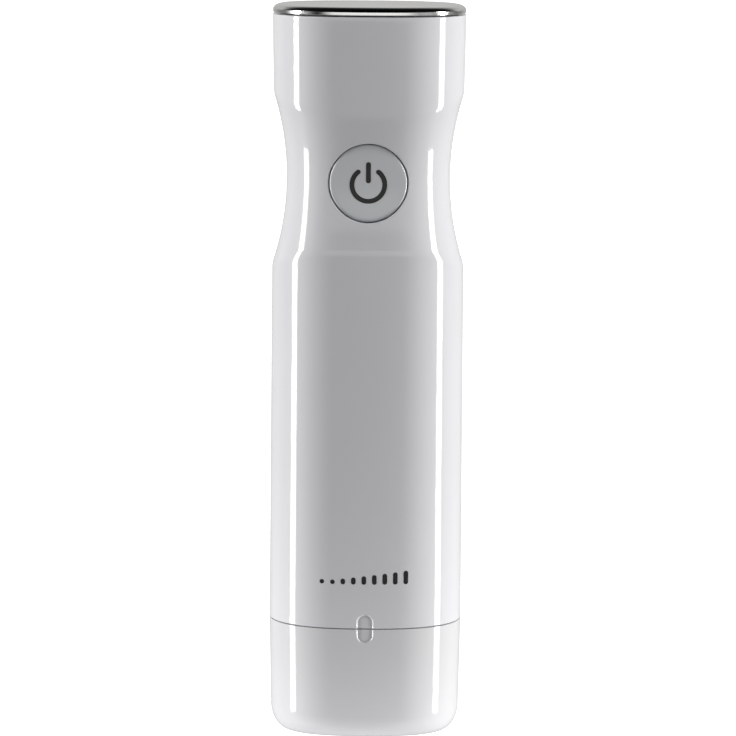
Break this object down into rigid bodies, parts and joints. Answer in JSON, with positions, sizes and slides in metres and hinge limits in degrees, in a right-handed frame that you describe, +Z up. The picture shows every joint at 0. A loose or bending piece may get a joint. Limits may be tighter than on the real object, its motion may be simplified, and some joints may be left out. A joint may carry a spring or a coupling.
{
  "type": "cordless handheld vacuum pump",
  "caption": "Oval handheld vacuum pump with a waisted grip, a round front button, a steel cap and a pull-off suction head, for bags and food boxes.",
  "frame": {"origin": "centre of the face it stands on, under the suction head's mouth", "axes": "+Z up along the body; -Y is the button side; +X is to the right as seen from the button side"},
  "size_m": [0.0538, 0.0438, 0.204],
  "materials": {
    "shell_plastic": "polished injection-moulded ABS, light warm grey",
    "button_plastic": null,
    "cap_steel": "satin stainless steel, finely brushed",
    "white_plastic": "as moulded, natural white",
    "grey_plastic": "as moulded, fine spark texture",
    "black_plastic": "as moulded, black",
    "silicone": "matt food-grade silicone",
    "black_rubber": "matt moulded rubber",
    "screw_steel": "zinc plated",
    "ground_steel": "ground and polished",
    "can_steel": "drawn and nickel plated",
    "ferrite": "sintered",
    "bronze": "oil-filled sintered bronze",
    "copper": "enamelled copper wire and copper bars",
    "lamination": "stacked steel laminations",
    "nickel_strip": "nickel strip",
    "cell_wrap": "shrink-wrapped steel can",
    "red_wire": "silicone-insulated lead",
    "board_green": "glass-epoxy board with solder mask",
    "clear_plastic": "clear light guide",
    "foam": "adhesive foam"
  },
  "bodies": {
    "suction_head": {"head_shell": "shell_plastic", "splash_riser": "white_plastic", "mouth_seal": "silicone"},
    "pump_body": {"main_housing": "shell_plastic", "base_plate": "grey_plastic", "spigot_seal": "silicone", "base_screws": "screw_steel", "chassis": "grey_plastic", "inlet_hose": "silicone", "pump_head": "white_plastic", "outlet_valve": "black_rubber", "valve_plate": "white_plastic", "inlet_flaps": "black_rubber", "diaphragm": "black_rubber", "cylinder_plate": "white_plastic", "pump_base": "white_plastic", "pump_screws": "screw_steel", "motor_screws": "screw_steel", "motor_can": "can_steel", "motor_magnets": "ferrite", "motor_endbell": "black_plastic", "motor_brushes": "ferrite", "motor_terminals": "bronze", "front_bush": "bronze", "rear_bush": "bronze", "motor_sleeve": "black_rubber", "battery_cell": "cell_wrap", "battery_tabs": "nickel_strip", "battery_pad": "foam", "battery_leads": "red_wire", "motor_leads": "red_wire", "control_board": "board_green", "board_parts": "black_plastic", "board_screws": "screw_steel", "tact_switch": "black_plastic", "charge_board": "board_green", "usb_shell": "can_steel", "usb_tongue": "black_plastic", "charge_led": "clear_plastic", "led_window": "clear_plastic", "button_guide": "white_plastic", "button_boot": "silicone", "top_carrier": "grey_plastic", "carrier_screws": "screw_steel", "cap_adhesive": "foam", "top_cap": "cap_steel"},
    "rotor": {"motor_shaft": "ground_steel", "armature_core": "lamination", "armature_windings": "copper", "commutator": "copper", "drive_cam": "white_plastic", "cam_pin": "ground_steel"},
    "wobbler": {"wobble_plate": "white_plastic"},
    "button": {"button_cap": "button_plastic", "switch_plunger": "black_plastic"}
  },
  "joints": [
    {"name": "head_pull", "type": "slide", "parent": "suction_head", "child": "pump_body", "axis": [0, 0, 1], "range_m": [0, 0.03]},
    {"name": "button_press", "type": "slide", "parent": "pump_body", "child": "button", "axis": [0, 1, 0], "range_m": [0, 0.0008], "stiffness_N_per_m": 1500, "springref_m": -0.0003, "deforming": ["button_boot"]},
    {"name": "motor_spin", "type": "hinge", "parent": "pump_body", "child": "rotor", "pos_m": [0, 0, 0.07295], "axis": [0, 0, 1], "continuous": true},
    {"name": "plate_wobble", "type": "hinge", "parent": "rotor", "child": "wobbler", "pos_m": [0, 0, 0.06045], "axis": [0.1045, 0, 0.9945], "continuous": true, "deforming": ["diaphragm"]}
  ],
  "couplings": [
    {"joint": "plate_wobble", "follows": "motor_spin", "ratio": -1}
  ]
}
